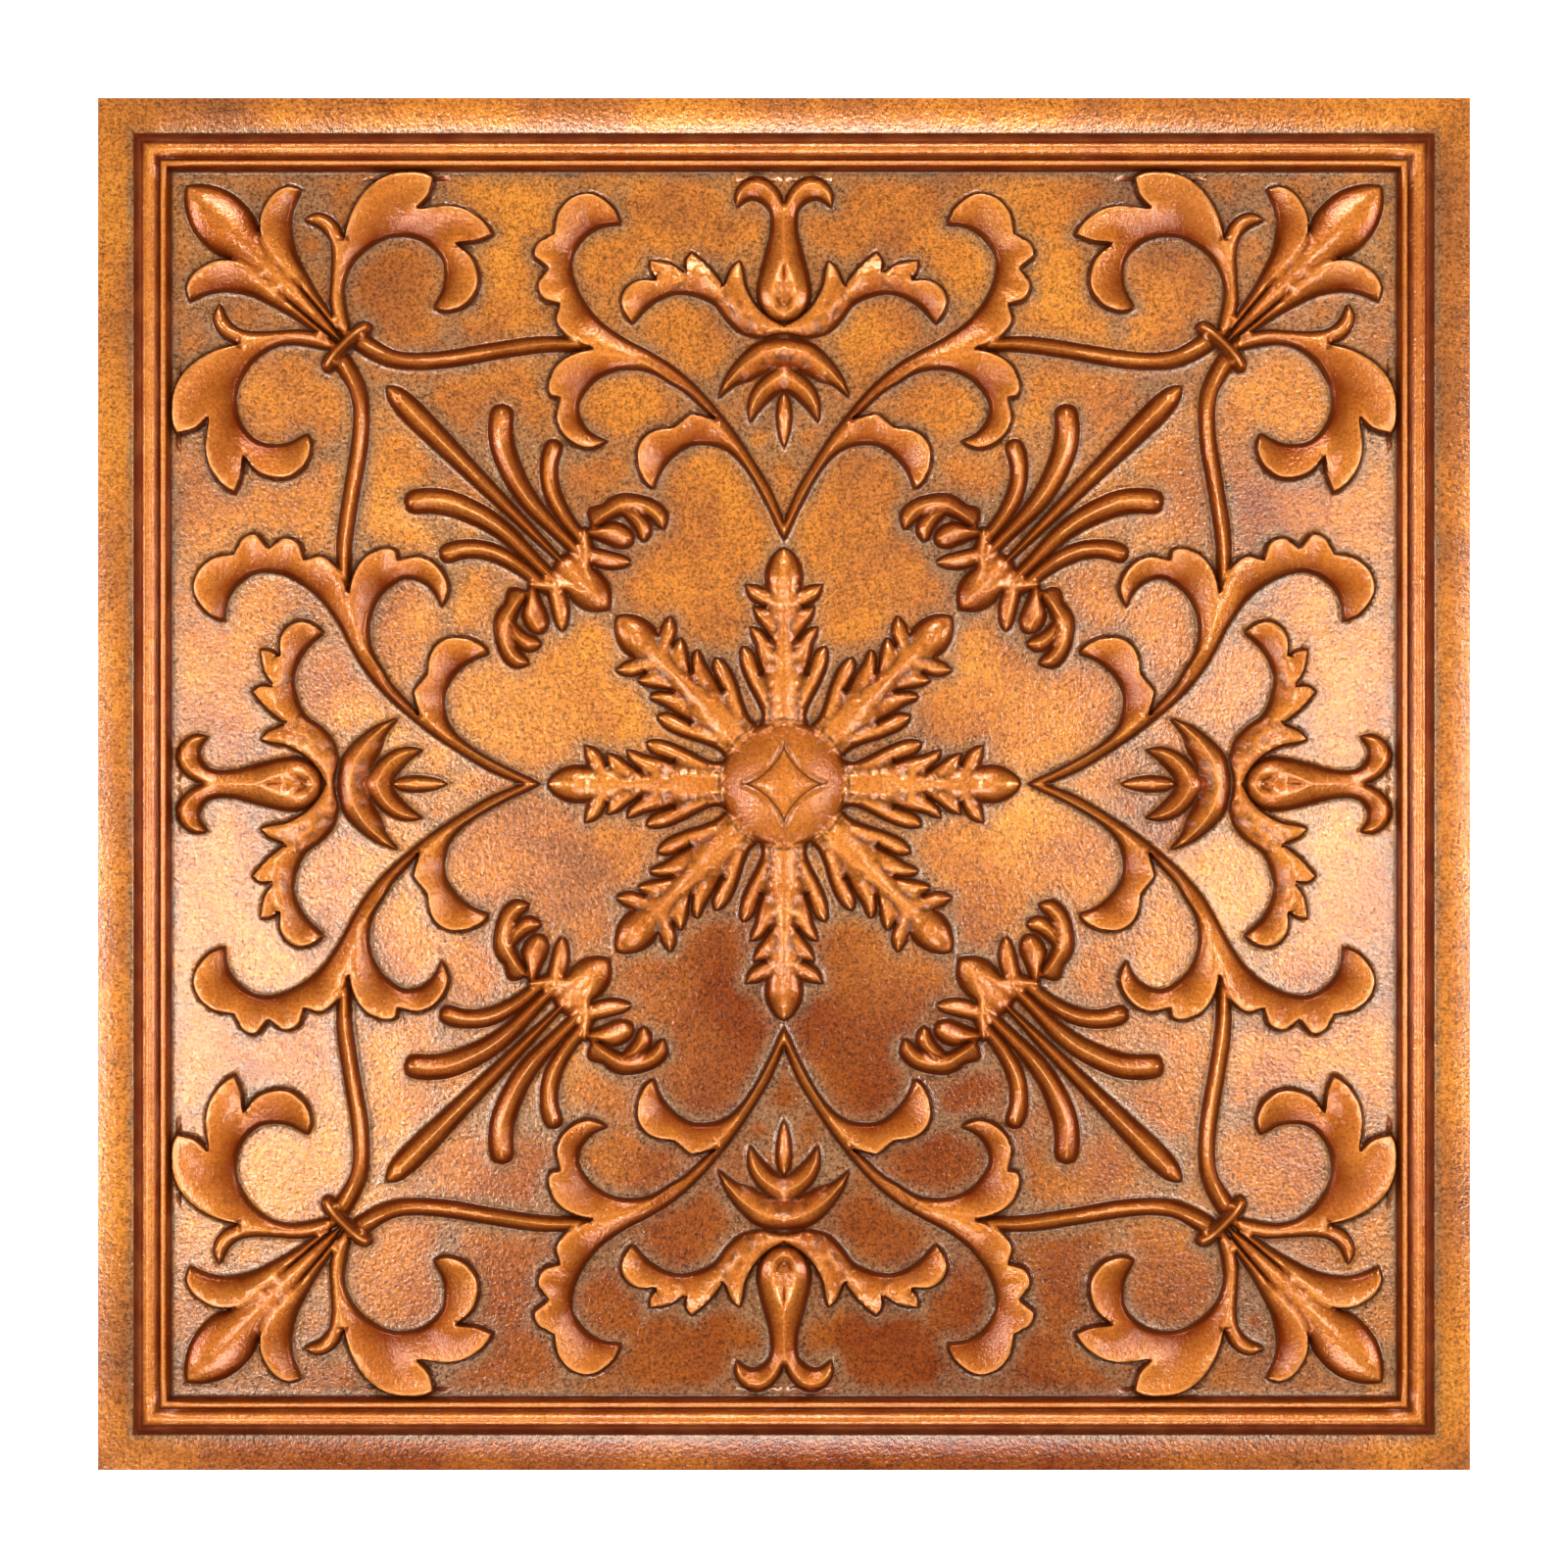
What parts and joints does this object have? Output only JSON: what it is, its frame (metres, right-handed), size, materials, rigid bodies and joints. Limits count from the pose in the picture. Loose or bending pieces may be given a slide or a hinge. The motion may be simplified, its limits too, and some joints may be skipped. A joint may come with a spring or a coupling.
{
  "type": "pressed tin ceiling tile",
  "caption": "Square pressed tin ceiling tile with a beaded border and a rosette, scroll and acanthus ornament, hollow behind, in aged copper paint.",
  "frame": {"origin": "middle of the tile, level with the back of its flat rim and field", "axes": "+Z out of the ornamented face, +X and +Y along the sides"},
  "size_m": [0.603, 0.603, 0.0092],
  "materials": {
    "sheet": "aged copper paint, mottled orange with dark patina along the relief and a leathery sheen"
  },
  "bodies": {
    "root": {"pressed_sheet": "sheet"}
  },
  "joints": []
}
